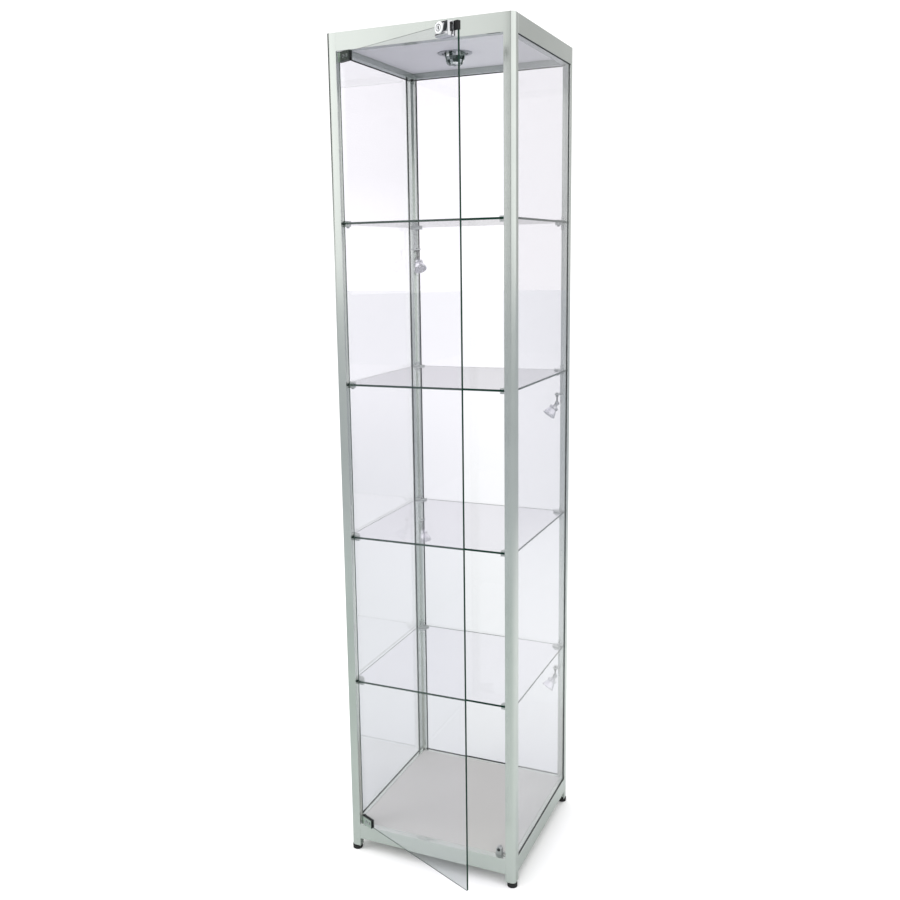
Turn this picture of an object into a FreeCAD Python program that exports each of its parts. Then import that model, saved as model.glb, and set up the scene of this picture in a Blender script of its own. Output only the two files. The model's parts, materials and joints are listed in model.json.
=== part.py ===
import FreeCAD, Part
import math
import os
import re
import Sketcher

os.makedirs("parts", exist_ok=True)
doc = FreeCAD.newDocument("display_case")

# Driving dimensions, in millimetres and degrees. X is right, Y is back, Z is up from the floor.
values = {
    "case_width": 450, "case_depth": 450, "case_height": 2025,
    "post_size": 25, "post_radius": 10, "post_notch": 8, "post_bottom": 12,
    "bore_place": 11, "bore_radius": 5.5,
    "slot_inset": 2, "slot_wide": 6, "slot_deep": 7,
    "rail_height": 40, "web_step": 0.5, "rail_wall": 3, "base_rail_bottom": 33,
    "header_lip": 14, "cover_rebate": 4, "cover_thick": 3,
    "pin_place": 11.5, "pin_radius": 2.5, "plug_long": 20,
    "base_thick": 16, "ceiling_thick": 8, "panel_gap": 0.5,
    "glass_thick": 4, "glass_bite": 5, "gasket_proud": 1,
    "shelf_thick": 5, "shelf_gap": 12, "shelf_corner_gap": 2, "shelf_ends": 10, "shelf_count": 4,
    "clip_reach": 24, "clip_post": 7, "clip_above": 14, "clip_below": 20, "clip_jaw": 3, "clip_tongue": 5,
    "screw_radius": 2, "screw_head": 3.5, "screw_play": 0.1,
    "door_thick": 5, "door_inset": 9, "hinge_inset": 10, "hinge_gap": 3.5, "door_gap": 2, "door_clear": 0.5,
    "door_rise": 4.5, "door_open": 25,
    "clamp_long": 40, "clamp_high": 22, "clamp_wall": 3.5, "clamp_bridge": 2.5, "clamp_end": 6, "pad_thick": 0.5,
    "glass_hole_play": 1, "screw_edge": 8,
    "pivot_radius": 2.5, "pivot_reach": 9, "pivot_short": 2, "run_gap": 0.05, "bush_radius": 4, "bush_play": 0.15,
    "plate_thick": 1.5, "plate_long": 24, "plate_wide": 12, "plate_screw": 1.5, "screw_long": 7,
    "sink_deep": 1, "sink_play": 0.1, "plate_near": 3, "plate_far": 5,
    "lock_inset": 30, "lock_drop": 10.5, "lock_wide": 36, "lock_high": 26.5, "lock_cheek": 2.3, "lock_shift": 2,
    "lock_bridge": 2, "cam_gap": 0.5, "core_sunk": 0.3, "core_past": 0.2, "key_wide": 2, "key_high": 7,
    "cam_room": 2.7, "cam_long": 22, "cam_wide": 10, "housing_deep": 12.5,
    "barrel_radius": 7.5, "barrel_long": 7.5, "core_radius": 5.5,
    "cap_high": 17.5, "cap_wall": 2, "cap_edge": 1.2, "cap_gap": 0.2,
    "strike_wide": 30, "strike_deep": 8, "strike_back": 4, "strike_play": 1,
    "catch_wide": 14, "catch_deep": 12, "catch_high": 20, "catch_inset": 22, "catch_gap": 1.5,
    "catch_foot": 2, "catch_pin_rise": 5, "bumper_thick": 1.2,
    "trim_radius": 40, "trim_thick": 2, "tube_radius": 32, "tube_wall": 2, "tube_high": 17, "hole_play": 1,
    "gimbal_radius": 28, "gimbal_high": 10, "gimbal_rise": 4, "lamp_radius": 25, "lamp_drop": 28,
    "lamp_shoulder_high": 6, "socket_high": 4, "socket_sink": 1, "lamp_rim": 3, "reflector_short": 4,
    "driver_long": 100, "driver_wide": 50, "driver_high": 12, "driver_place": 60,
    "lead_place": 5, "lead_rise": 2, "lead_gap": 1,
    "gland_radius": 5, "gland_place": 75, "gland_room": 1,
    "spot_drop": 84, "spot_reach": 5, "spot_tilt": 40, "spot_clip_high": 41, "spot_clip_gap": 1,
    "seat_edge": 5, "seat_high": 4, "seat_play": 0.3, "pin_tip": 1.5, "pin_sink": 1,
    "eye_radius": 5, "eye_thick": 3, "lug_gap": 0.3, "lug_thick": 2, "lug_drop": 9,
    "neck_radius": 6, "neck_sink": 0.5, "cup_place": 16, "cup_floor": 4, "cup_wall": 1.5,
    "cup_radius": 17, "cup_long": 22, "collar_radius": 12, "collar_lip": 1,
    "foot_radius": 12.5, "foot_pad": 10.5, "foot_flange": 1, "stem_radius": 3.95, "insert_long": 20,
    "flange_lip": 2, "plug_play": 0.1,
}
sheet = doc.addObject("Spreadsheet::Sheet", "sizes")
for row, (word, number) in enumerate(values.items(), 1):
    sheet.set(f"A{row}", word)
    sheet.set(f"B{row}", str(number))
    sheet.setAlias(f"B{row}", word)
doc.recompute()

# Places that several pieces share, as text worked out from the sheet.
half_width = "(case_width/2)"
half_depth = "(case_depth/2)"
inner_width = "(case_width - 2*post_size)"
inner_depth = "(case_depth - 2*post_size)"
header_bottom = "(case_height - rail_height)"
base_top = "(base_rail_bottom + rail_height)"
ceiling_bottom = f"({header_bottom} + header_lip)"
ceiling_top = f"({ceiling_bottom} + ceiling_thick)"
notch_place = "(post_size - post_notch)"
rail_web = f"({notch_place} + web_step)"
base_seat = "(rail_height - base_thick)"
shelf_pitch = f"(({header_bottom} - {base_top} - shelf_ends)/(shelf_count + 1))"
door_bottom = f"({base_top} + door_rise)"
door_top = f"({header_bottom} - door_rise)"
door_long = f"({inner_width} - hinge_gap - door_gap)"
door_start = "(hinge_gap - hinge_inset)"
door_sweep = "sqrt((hinge_inset - hinge_gap)^2 + (door_thick/2)^2)"
lock_x = f"({door_long} + {door_start} - lock_inset)"
lock_z = f"({door_top} - lock_drop)"
cheek_face = "(door_thick/2 + lock_cheek)"
housing_face = f"({cheek_face} + cam_room)"
gimbal_z = f"({ceiling_bottom} + gimbal_rise)"
header_hollow = ("(slot_deep + rail_wall)", "(rail_height - cover_rebate - rail_wall)")
base_hollow = ("rail_wall", "(rail_height - slot_deep - rail_wall)")
header_pin = "(({} + {})/2)".format(*header_hollow)
base_pin = "(({} + {})/2)".format(*base_hollow)
plate_screws = ("post_size + plate_near", "post_size + plate_long - plate_far")
gland_z = f"({header_bottom} + {header_hollow[1]} - gland_radius - gland_room)"
spot_axis = "(post_size + spot_reach)"

xAxis = FreeCAD.Vector(1, 0, 0)
yAxis = FreeCAD.Vector(0, 1, 0)
zAxis = FreeCAD.Vector(0, 0, 1)
cornerTurns = {"front_left": 0, "front_right": 90, "back_right": 180, "back_left": 270}
cornerSides = {"front_left": (-1, -1), "front_right": (1, -1), "back_right": (1, 1), "back_left": (-1, 1)}
nodes = []


def sized(text):
    pattern = r"[a-z][a-z0-9_]*"
    return re.sub(pattern, lambda word: "sizes." * (word.group() in values) + word.group(), str(text))


def bind(item, **settings):
    for key, text in settings.items():
        item.setExpression(key, sized(text))
    return item


def place(item, x, y, z, turn=None):
    item.Placement = FreeCAD.Placement(FreeCAD.Vector(), turn or FreeCAD.Rotation())
    for key, text in zip("xyz", (x, y, z)):
        item.setExpression(f"Placement.Base.{key}", sized(text))
    return item


def box(x, y, z, length, width, height):
    block = bind(doc.addObject("Part::Box", "block"), Length=length, Width=width, Height=height)
    return place(block, x, y, z)


def rod(x, y, z, radius, length, axis=zAxis, angle=360):
    bar = bind(doc.addObject("Part::Cylinder", "bar"), Radius=radius, Height=length)
    bar.Angle = angle
    return place(bar, x, y, z, FreeCAD.Rotation(zAxis, axis))


def taper(x, y, z, lower, upper, height):
    cone = bind(doc.addObject("Part::Cone", "taper"), Radius1=lower, Radius2=upper, Height=height)
    return place(cone, x, y, z)


def join(pieces):
    union = doc.addObject("Part::MultiFuse", "union")
    union.Shapes = pieces
    return union


def cut(base, tools):
    result = doc.addObject("Part::Cut", "cut")
    result.Base = base
    result.Tool = tools[0] if len(tools) == 1 else join(tools)
    return result


def group(pieces):
    gathered = doc.addObject("Part::Compound", "group")
    gathered.Links = pieces
    return gathered


def node(item, label):
    item.Label = label
    nodes.append(item)
    return item


def profile(plane, length, points, hole=(), bore=()):
    """Pads a closed outline; a hole is a second outline and a bore is a circle."""
    body = doc.addObject("PartDesign::Body", "body")
    sketch = body.newObject("Sketcher::SketchObject", "outline")
    planes = {feature.Role: feature for feature in body.Origin.OriginFeatures}
    sketch.AttachmentSupport = [(planes[plane], "")]
    sketch.MapMode = "FlatFace"
    for loop in filter(None, (points, hole)):
        first = sketch.GeometryCount
        count = len(loop)
        ring = [FreeCAD.Vector(math.cos(2*math.pi*i/count), math.sin(2*math.pi*i/count)) for i in range(count)]
        for i in range(count):
            sketch.addGeometry(Part.LineSegment(ring[i], ring[(i + 1) % count]))
        for i in range(count):
            sketch.addConstraint(Sketcher.Constraint("Coincident", first + i, 2, first + (i + 1) % count, 1))
        for i, place_text in enumerate(loop):
            fixPoint(sketch, first + i, 1, place_text)
    if bore:
        circle = sketch.addGeometry(Part.Circle(FreeCAD.Vector(1, 1), zAxis, 1))
        fixPoint(sketch, circle, 3, bore[:2])
        bindConstraint(sketch, Sketcher.Constraint("Radius", circle, 1), bore[2])
    pad = body.newObject("PartDesign::Pad", "pad")
    pad.Profile = sketch
    bind(pad, Length=length)
    body.Tip = pad
    return body


def bindConstraint(sketch, constraint, text):
    index = sketch.addConstraint(constraint)
    sketch.setExpression(f"Constraints[{index}]", sized(text))


def fixPoint(sketch, geometry, end, place_text):
    for kind, axis, text in (("DistanceX", -2, place_text[0]), ("DistanceY", -1, place_text[1])):
        if text == "0":
            sketch.addConstraint(Sketcher.Constraint("PointOnObject", geometry, end, axis))
        else:
            bindConstraint(sketch, Sketcher.Constraint(kind, -1, 1, geometry, end, 1), text)


def slotPoints(across, deep_text, flip=False):
    """The four points of a glass slot cut into a straight edge."""
    near, far = "slot_inset", "slot_inset + slot_wide"
    steps = [(near, across), (near, deep_text), (far, deep_text), (far, across)]
    return [(b, a) for a, b in steps] if flip else steps


def atCorner(item, name, z="0"):
    """Moves a piece made from its post's outer corner to that corner of the case."""
    side_x, side_y = cornerSides[name]
    turn = FreeCAD.Rotation(zAxis, cornerTurns[name])
    return place(item, f"{side_x}*{half_width}", f"{side_y}*{half_depth}", z, turn)


def notchedPlate(half_x, front, back, corner, z, thick):
    """A plate whose four corners are cut out square to clear the posts."""
    cx, cy = corner
    points = [(f"-{cx}", f"-{front}"), (cx, f"-{front}"), (cx, f"-{cy}"), (half_x, f"-{cy}"),
              (half_x, cy), (cx, cy), (cx, back), (f"-{cx}", back), (f"-{cx}", cy), (f"-{half_x}", cy),
              (f"-{half_x}", f"-{cy}"), (f"-{cx}", f"-{cy}")]
    return place(profile("XY_Plane", thick, points), "0", "0", z)


# Posts: rounded outside, notched inside, slotted where a glass pane enters, bored for the foot.
def makePost(name, left_slot, right_slot):
    edge, inner = "post_size", notch_place
    points = [("0", "0"), (edge, "0")]
    if right_slot:
        points += slotPoints(edge, "post_size - slot_deep", flip=True)
    points += [(edge, inner), (inner, inner), (inner, edge)]
    if left_slot:
        points += list(reversed(slotPoints(edge, "post_size - slot_deep")))
    points += [("0", edge)]
    body = profile("XY_Plane", "case_height - post_bottom", points, bore=("bore_place", "bore_place", "bore_radius"))
    doc.recompute()
    pad = body.Tip
    corner_edge = [i for i, e in enumerate(pad.Shape.Edges, 1)
                   if all(math.hypot(v.X, v.Y) < 0.01 for v in e.Vertexes)]
    rounding = body.newObject("PartDesign::Fillet", "rounding")
    rounding.Base = (pad, [f"Edge{corner_edge[0]}"])
    bind(rounding, Radius="post_radius")
    body.Tip = rounding
    place(body, "0", "0", "post_bottom")
    start = "post_size - slot_deep"
    heights = (f"{header_bottom} + {header_pin}", f"base_rail_bottom + {base_pin}")
    holes = [rod("pin_place", start, z, "pin_radius", "slot_deep", yAxis) for z in heights]
    holes += [rod(start, "pin_place", z, "pin_radius", "slot_deep", xAxis) for z in heights]
    node(atCorner(cut(body, holes), name), f"post_{name}")


makePost("front_left", True, False)
makePost("front_right", False, True)
makePost("back_right", True, True)
makePost("back_left", True, True)

# Rails: a hollow web, an inner lip for the panel and a slot for the glass.
sides = {"front": "front_left", "right": "front_right", "back": "back_right", "left": "back_left"}
inside = f"({rail_web} - rail_wall)"


def railLength(side):
    return inner_width if side in ("front", "back") else inner_depth


def hollow(bottom, top):
    return [("rail_wall", bottom), (inside, bottom), (inside, top), ("rail_wall", top)]


def makeHeader(side):
    slot = slotPoints("0", "slot_deep") if side != "front" else []
    rebate = "rail_height - cover_rebate"
    points = [("0", "0")] + slot + [("post_size", "0"), ("post_size", "header_lip"), (rail_web, "header_lip")]
    points += [(rail_web, rebate), (inside, rebate), (inside, "rail_height"), ("0", "rail_height")]
    rail = profile("YZ_Plane", railLength(side), points, hollow(*header_hollow))
    place(rail, "post_size", "0", header_bottom)
    holes = []
    if side == "front":
        strike = f"post_size + hinge_inset + {lock_x} - cam_wide/2 - strike_play"
        holes += [box(strike, "strike_play", header_bottom, "strike_wide", "door_inset - strike_back", "strike_deep")]
        holes += [rod("post_size + hinge_inset", "door_inset", header_bottom, "bush_radius + bush_play", "pivot_reach")]
        holes += plateHoles(header_bottom, 1)
    if side == "back":
        holes += [rod("gland_place", "0", gland_z, "gland_radius + run_gap", "post_size", yAxis)]
    return node(atCorner(cut(rail, holes) if holes else group([rail]), sides[side]), f"header_rail_{side}")


def makeBase(side):
    far, near = "slot_inset + slot_wide", "slot_inset"
    depth = "rail_height - slot_deep"
    slot = [(far, "rail_height"), (far, depth), (near, depth), (near, "rail_height")] if side != "front" else []
    points = [("0", "0"), ("post_size", "0"), ("post_size", base_seat), (rail_web, base_seat)]
    points += [(rail_web, "rail_height")] + slot + [("0", "rail_height")]
    rail = profile("YZ_Plane", railLength(side), points, hollow(*base_hollow))
    place(rail, "post_size", "0", "base_rail_bottom")
    holes = []
    if side == "front":
        bush_bottom = f"{base_top} - pivot_reach"
        holes += [rod("post_size + hinge_inset", "door_inset", bush_bottom, "bush_radius + bush_play", "pivot_reach")]
        holes += plateHoles(base_top, -1)
    return node(atCorner(cut(rail, holes) if holes else group([rail]), sides[side]), f"base_rail_{side}")


def plateHoles(z, way, radius="plate_screw + sink_play"):
    """Screw holes of a hinge plate, going into the rail from its face."""
    start = z if way > 0 else f"{z} - screw_long"
    return [rod(x, "door_inset", start, radius, "screw_long") for x in plate_screws]


for side in sides:
    makeHeader(side)
    makeBase(side)


# Connectors: a plug in each rail's hollow with a pin that enters the post.
def makeConnector(hollow_size, z):
    bottom, top = hollow_size
    plug = box("post_size", "rail_wall", f"{z} + {bottom}", "plug_long", f"{inside} - rail_wall", f"{top} - {bottom}")
    pin = rod("post_size - slot_deep", "pin_place", f"{z} + ({bottom} + {top})/2", "pin_radius", "slot_deep", xAxis)
    return join([plug, pin])


connectors = []
for hollow_size, z in ((header_hollow, header_bottom), (base_hollow, "base_rail_bottom")):
    for side, corner in sides.items():
        connectors.append(atCorner(makeConnector(hollow_size, z), corner))
        mirrored = doc.addObject("Part::Mirroring", "mirrored")
        mirrored.Source = makeConnector(hollow_size, z)
        mirrored.Normal = xAxis
        side_x, side_y = cornerSides[corner]
        turn = FreeCAD.Rotation(zAxis, cornerTurns[corner])
        shift = f"({railLength(side)} + 2*post_size)"
        along = turn.multVec(xAxis)
        x = f"{side_x}*{half_width} + {round(along.x)}*{shift}"
        y = f"{side_y}*{half_depth} + {round(along.y)}*{shift}"
        connectors.append(place(mirrored, x, y, "0", turn))
node(group(connectors), "rail_connectors")

# Panels: the floor board, the recessed ceiling with the lamp's hole, and the thin cover above.
panel_x = f"({half_width} - {rail_web} - panel_gap)"
panel_y = f"({half_depth} - {rail_web} - panel_gap)"
floor_z = f"{base_top} - base_thick"
base_panel = box(f"-{panel_x}", f"-{panel_y}", floor_z, f"2*{panel_x}", f"2*{panel_y}", "base_thick")
node(base_panel, "base_panel")
ceiling = box(f"-{panel_x}", f"-{panel_y}", ceiling_bottom, f"2*{panel_x}", f"2*{panel_y}", "ceiling_thick")
lamp_hole = rod("0", "0", ceiling_bottom, "tube_radius + hole_play", "ceiling_thick")
node(cut(ceiling, [lamp_hole]), "ceiling_panel")
cover_x = f"({half_width} - {inside} - panel_gap)"
cover_y = f"({half_depth} - {inside} - panel_gap)"
cover_corner = (f"({half_width} - post_size - panel_gap)", f"({half_depth} - post_size - panel_gap)")
cover_z = "case_height - cover_rebate"
node(notchedPlate(cover_x, cover_y, cover_y, cover_corner, cover_z, "cover_thick"), "top_cover")

# Glazing: three panes in rubber channels.
pane_bottom = f"({base_top} - glass_bite)"
pane_high = f"({header_bottom} + glass_bite - {pane_bottom})"
pane_inset = "(slot_inset + slot_wide/2 - glass_thick/2)"
pane_start = "(post_size - glass_bite)"


def makePane(side):
    length = f"({railLength(side)} + 2*glass_bite)"
    return atCorner(group([box(pane_start, pane_inset, pane_bottom, length, "glass_thick", pane_high)]), sides[side])


def makeGasket(side):
    length = railLength(side)
    start = "post_size - slot_deep"
    bottom = f"{base_top} - slot_deep"
    high = f"({header_bottom} - {base_top})"
    outer = box(start, "slot_inset", bottom, f"{length} + 2*slot_deep", "slot_wide", f"{high} + 2*slot_deep")
    window = box("post_size + gasket_proud", "slot_inset", f"{base_top} + gasket_proud",
                 f"{length} - 2*gasket_proud", "slot_wide", f"{high} - 2*gasket_proud")
    pane = box(pane_start, pane_inset, pane_bottom, f"{length} + 2*glass_bite", "glass_thick", pane_high)
    return atCorner(cut(outer, [window, pane]), sides[side])


for side, label in (("left", "side_glass_left"), ("right", "side_glass_right"), ("back", "back_glass")):
    node(makePane(side), label)
node(group([makeGasket(side) for side in ("left", "right", "back")]), "glazing_gaskets")

# Shelves and the clips that hold them to the posts.
shelf_corner = (f"({half_width} - post_size - shelf_corner_gap)", f"({half_depth} - post_size - shelf_corner_gap)")
shelf_levels = [f"({header_bottom} - {index + 1}*{shelf_pitch})" for index in range(values["shelf_count"])]
clips = []
clip_screws = []
for index, level in enumerate(shelf_levels, 1):
    bottom = f"{level} - shelf_thick/2"
    shelf = notchedPlate(f"({half_width} - shelf_gap)", f"({half_depth} - door_inset - {door_sweep} - door_clear)",
                         f"({half_depth} - shelf_gap - gasket_proud)", shelf_corner, bottom, "shelf_thick")
    node(shelf, f"shelf_{index}")
    for corner in cornerTurns:
        spine = box(notch_place, notch_place, f"{level} - clip_below", "clip_post", "clip_post",
                    "clip_below + clip_above")
        tongue_bottom = f"{level} - shelf_thick/2 - clip_tongue"
        tongue = rod(notch_place, notch_place, tongue_bottom, "clip_reach", "clip_tongue", angle=90)
        jaw = rod(notch_place, notch_place, f"{level} + shelf_thick/2", "clip_reach", "clip_jaw", angle=90)
        screw_place = f"({notch_place} + clip_reach/2 + screw_head/6)"
        hole = rod(screw_place, screw_place, tongue_bottom, "screw_radius + screw_play", "clip_tongue")
        clips.append(atCorner(cut(join([spine, tongue, jaw]), [hole]), corner))
        shank = rod(screw_place, screw_place, tongue_bottom, "screw_radius", "clip_tongue")
        head = rod(screw_place, screw_place, f"{tongue_bottom} - screw_head", "screw_head", "screw_head")
        clip_screws.append(atCorner(join([shank, head]), corner))
node(group(clips), "shelf_clips")
node(group(clip_screws), "shelf_clip_screws")


# Door: made shut, measured from its pivot line, then swung open.
def onDoor(item):
    swing = FreeCAD.Rotation(zAxis * -1, 1)
    place(item, f"post_size + hinge_inset - {half_width}", f"door_inset - {half_depth}", "0", swing)
    item.setExpression("Placement.Rotation.Angle", "sizes.door_open")
    return item


clamp_side = "(door_thick/2 + pad_thick + clamp_wall)"
clamp_levels = {"upper": f"({door_top} + clamp_bridge - clamp_high)", "lower": f"({door_bottom} - clamp_bridge)"}
screw_spots = ("clamp_long/2 - clamp_end", "clamp_long - clamp_end - screw_edge")
screw_rows = [f"({level} + clamp_high/2)" for level in clamp_levels.values()]


def throughDoor(radius, depth):
    """Bars along the door's thickness at every clamp screw."""
    return [rod(x, f"-{depth}", z, radius, f"2*{depth}", yAxis) for x in screw_spots for z in screw_rows]


door_pane = box(door_start, "-door_thick/2", door_bottom, door_long, "door_thick", f"{door_top} - {door_bottom}")
node(onDoor(cut(door_pane, throughDoor("screw_radius + glass_hole_play", "door_thick/2"))), "door_glass")
clamp_bodies = []
for name, level in clamp_levels.items():
    shell = box("-clamp_end", f"-{clamp_side}", level, "clamp_long", f"2*{clamp_side}", "clamp_high")
    groove_z = level if name == "upper" else f"{level} + clamp_bridge"
    groove = box("-clamp_end", "-(door_thick/2 + pad_thick)", groove_z, "clamp_long", "door_thick + 2*pad_thick",
                 "clamp_high - clamp_bridge")
    bars = [rod(x, f"-{clamp_side}", f"{level} + clamp_high/2", "screw_radius + screw_play", f"2*{clamp_side}", yAxis)
            for x in screw_spots]
    bridge_z = f"{level} + clamp_high - clamp_bridge" if name == "upper" else level
    pin_bore = rod("0", "0", bridge_z, "pivot_radius", "clamp_bridge")
    clamp_bodies.append(onDoor(cut(shell, [groove, pin_bore] + bars)))
node(group(clamp_bodies), "hinge_clamps")
pads = []
for name, level in clamp_levels.items():
    pad_z = level if name == "upper" else f"{level} + clamp_bridge"
    for y in ("-door_thick/2 - pad_thick", "door_thick/2"):
        pad = box("-clamp_end", y, pad_z, "clamp_long", "pad_thick", "clamp_high - clamp_bridge")
        bars = [rod(x, y, f"{level} + clamp_high/2", "screw_radius + glass_hole_play", "pad_thick", yAxis)
                for x in screw_spots]
        pads.append(onDoor(cut(pad, bars)))
node(group(pads), "clamp_pads")
door_screws = []
for z in screw_rows:
    for x in screw_spots:
        shank = rod(x, f"-{clamp_side}", z, "screw_radius", f"2*{clamp_side}", yAxis)
        head = rod(x, f"-{clamp_side} - plate_thick", z, "screw_head", "plate_thick", yAxis)
        door_screws.append(onDoor(join([shank, head])))
node(group(door_screws), "clamp_screws")
pin_long = "(door_rise + pivot_reach - pivot_short)"
upper_pin = rod("0", "0", door_top, "pivot_radius", pin_long)
lower_pin = rod("0", "0", f"{door_bottom} - {pin_long}", "pivot_radius", pin_long)
node(onDoor(group([upper_pin, lower_pin])), "pivot_pins")


# Hinge plates on the rails, with the bushes that the pins turn in.
def plateSet(z, way):
    plate = box("post_size", "door_inset - plate_wide/2", z, "plate_long", "plate_wide", "plate_thick")
    holes = [rod("post_size + hinge_inset", "door_inset", z, "bush_radius + bush_play", "plate_thick")]
    sink_z = z if way > 0 else f"{z} + plate_thick - sink_deep"
    holes += [rod(x, "door_inset", z, "plate_screw + sink_play", "plate_thick") for x in plate_screws]
    holes += [rod(x, "door_inset", sink_z, "plate_screw + sink_deep + sink_play", "sink_deep") for x in plate_screws]
    return atCorner(cut(plate, holes), "front_left"), sink_z


plates = []
plate_screw_set = []
bushes = []
for z, way in ((f"({header_bottom} - plate_thick)", 1), (base_top, -1)):
    plate, sink_z = plateSet(z, way)
    plates.append(plate)
    for x in plate_screws:
        head = rod(x, "door_inset", sink_z, "plate_screw + sink_deep", "sink_deep")
        shank_z = z if way > 0 else f"{z} - screw_long + 2*sink_deep"
        shank = rod(x, "door_inset", shank_z, "plate_screw", "screw_long - sink_deep")
        plate_screw_set.append(atCorner(join([head, shank]), "front_left"))
    bush_z = z if way > 0 else f"{z} - pivot_reach"
    sleeve = rod("post_size + hinge_inset", "door_inset", bush_z, "bush_radius", "pivot_reach + plate_thick")
    bore = rod("post_size + hinge_inset", "door_inset", bush_z, "pivot_radius + run_gap", "pivot_reach + plate_thick")
    bushes.append(atCorner(cut(sleeve, [bore]), "front_left"))
node(group(plates), "hinge_plates")
node(group(plate_screw_set), "plate_screws")
node(group(bushes), "pivot_bushes")

# Lock: a clamp over the glass, a room for the cam and a housing with a key barrel.
lock_left = f"({lock_x} - lock_wide/2 + lock_shift)"
lock_bottom = f"({door_top} - lock_high)"
lock_height = "(lock_high + lock_bridge)"
front_cheek = box(lock_left, f"-{cheek_face}", lock_bottom, "lock_wide", "lock_cheek", lock_height)
back_cheek = box(lock_left, "door_thick/2", lock_bottom, "lock_wide", "rail_wall", lock_height)
bridge = box(lock_left, "-door_thick/2", door_top, "lock_wide", "door_thick", "lock_bridge")
housing = box(lock_left, f"-{housing_face} - housing_deep", lock_bottom, "lock_wide", "housing_deep", lock_height)
side_rim = box(lock_left, f"-{housing_face}", lock_bottom, "rail_wall", "cam_room", lock_height)
lower_rim = box(lock_left, f"-{housing_face}", lock_bottom, "lock_wide", "cam_room", "rail_wall")
barrel_front = f"({housing_face} + housing_deep + barrel_long)"
barrel = rod(lock_x, f"-{barrel_front}", lock_z, "barrel_radius", "barrel_long", yAxis)
core_bore = rod(lock_x, f"-{barrel_front}", lock_z, "core_radius + run_gap", "barrel_long + housing_deep", yAxis)
lock_shell = join([front_cheek, back_cheek, bridge, housing, side_rim, lower_rim, barrel])
node(onDoor(cut(lock_shell, [core_bore])), "lock_body")
core_long = "barrel_long + housing_deep + core_past"
core = rod(lock_x, f"-{barrel_front} + core_sunk", lock_z, "core_radius", core_long, yAxis)
key_left = f"{lock_x} - key_wide/2"
key_slot = box(key_left, f"-{barrel_front}", f"{lock_z} - key_high/2", "key_wide", "screw_head", "key_high")
node(onDoor(cut(core, [key_slot])), "lock_cylinder")
cam_start = f"-{housing_face} + cam_gap"
cam_deep = "(cam_room - 2*cam_gap + core_sunk)"
cam_hub = rod(lock_x, cam_start, lock_z, "cam_wide/2", cam_deep, yAxis)
cam_arm = box(lock_x, cam_start, f"{lock_z} - cam_wide/2", "cam_long", cam_deep, "cam_wide")
hub_tip = rod(lock_x, cam_start, lock_z, "cam_long", cam_deep, yAxis)
tip_round = doc.addObject("Part::MultiCommon", "tip_round")
tip_round.Shapes = [cam_arm, hub_tip]
node(onDoor(join([cam_hub, tip_round])), "lock_cam")
cap_left = f"({lock_left} + lock_wide + cap_gap)"
cap_right = f"({door_start} + {door_long} + cap_edge)"
cap_bottom = f"{door_top} + lock_bridge - cap_high"
cap = box(cap_left, "-(door_thick/2 + cap_wall)", cap_bottom, f"{cap_right} - {cap_left}",
          "door_thick + 2*cap_wall", "cap_high")
cap_groove = box(cap_left, "-door_thick/2", cap_bottom, f"{door_start} + {door_long} - {cap_left}", "door_thick",
                 "cap_high - lock_bridge")
node(onDoor(cut(cap, [cap_groove])), "lock_corner_cap")

# Door catch on the lower front rail, with its rubber bumper and a pin to the post.
catch_left = f"({half_width} - post_size - catch_inset - catch_wide/2)"
catch_front = f"(door_inset + door_thick/2 + catch_gap - {half_depth})"
catch_round = f"({base_top} + catch_high - catch_wide/2)"
catch_block = box(catch_left, catch_front, base_top, "catch_wide", "catch_deep", "catch_high - catch_wide/2")
catch_head = rod(f"{catch_left} + catch_wide/2", catch_front, catch_round, "catch_wide/2", "catch_deep", yAxis)
catch_foot = box(f"{catch_left} - catch_foot", catch_front, base_top, "catch_wide + 2*catch_foot", "catch_deep",
                 "catch_foot")
catch_pin = rod(f"{catch_left} + catch_foot/2", f"{catch_front} + catch_deep/2", f"{base_top} + catch_pin_rise",
                "plate_screw", f"{half_width} - post_size - {catch_left} - catch_foot/2", xAxis)
node(join([catch_block, catch_head, catch_foot, catch_pin]), "door_catch")
bumper = rod(f"{catch_left} + catch_wide/2", f"{catch_front} - bumper_thick", catch_round, "screw_radius*2",
             "bumper_thick", yAxis)
node(bumper, "catch_bumper")

# Ceiling light: a fixed trim, a ring that tilts in it and the lamp that the ring holds.
flange = rod("0", "0", f"{ceiling_bottom} - trim_thick", "trim_radius", "trim_thick")
tube = rod("0", "0", f"{ceiling_bottom} - trim_thick", "tube_radius", "tube_high")
tube_bore = rod("0", "0", f"{ceiling_bottom} - trim_thick", "tube_radius - tube_wall", "tube_high")
trunnion_bore = rod("-tube_radius", "0", gimbal_z, "plate_screw + run_gap", "2*tube_radius", xAxis)
node(cut(join([flange, tube]), [tube_bore, trunnion_bore]), "downlight_trim")
ring_z = f"({gimbal_z} - gimbal_high/2)"
ring = rod("0", "0", ring_z, "gimbal_radius", "gimbal_high")
trunnion = rod("-tube_radius", "0", gimbal_z, "plate_screw", "2*tube_radius", xAxis)
ring_bore = rod("0", "0", ring_z, "lamp_radius", "gimbal_high")
node(cut(join([ring, trunnion]), [ring_bore]), "downlight_gimbal")
lamp_bottom = f"({ceiling_bottom} - lamp_drop)"
lamp_shoulder = f"({ring_z} + gimbal_high)"
lamp_shell = rod("0", "0", lamp_bottom, "lamp_radius", f"{lamp_shoulder} - {lamp_bottom}")
lamp_back = taper("0", "0", lamp_shoulder, "lamp_radius", "lamp_radius/2", "lamp_shoulder_high")
socket_z = f"{lamp_shoulder} + lamp_shoulder_high - socket_sink"
lamp_socket = rod("0", "0", socket_z, "lamp_radius/3", "socket_high")
reflector = taper("0", "0", lamp_bottom, "lamp_radius - lamp_rim", "lamp_radius/3", "lamp_drop - reflector_short")
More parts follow.
